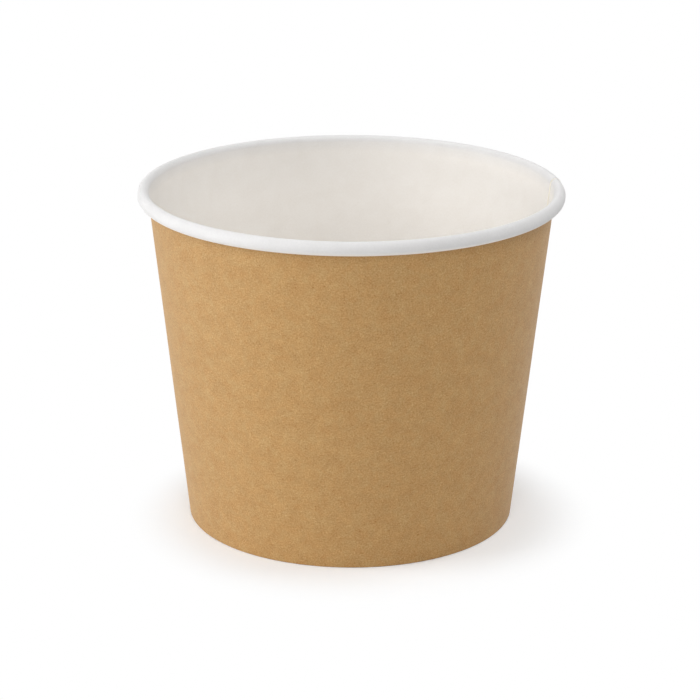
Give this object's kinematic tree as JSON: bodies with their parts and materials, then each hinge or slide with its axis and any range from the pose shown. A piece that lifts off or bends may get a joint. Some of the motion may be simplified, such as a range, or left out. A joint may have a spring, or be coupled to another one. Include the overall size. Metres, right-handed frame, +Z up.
{
  "type": "paper food bucket",
  "caption": "Tapered round paperboard food bucket, kraft outside and white inside, with a rolled rim, lapped side seam, folded hem and raised floor, open at the top.",
  "frame": {"origin": "centre of the foot, on the surface it stands on", "axes": "+Z up along the bucket's axis, towards its open rim; the side seam's inner edge lies 7.5 degrees from +X towards +Y"},
  "size_m": [0.1829, 0.183, 0.1475],
  "materials": {
    "kraft_board": "uncoated kraft outside, white coated inside",
    "white_board": "white coated above, bare board below"
  },
  "bodies": {
    "root": {"side_wall": "kraft_board", "base_disc": "white_board"}
  },
  "joints": []
}
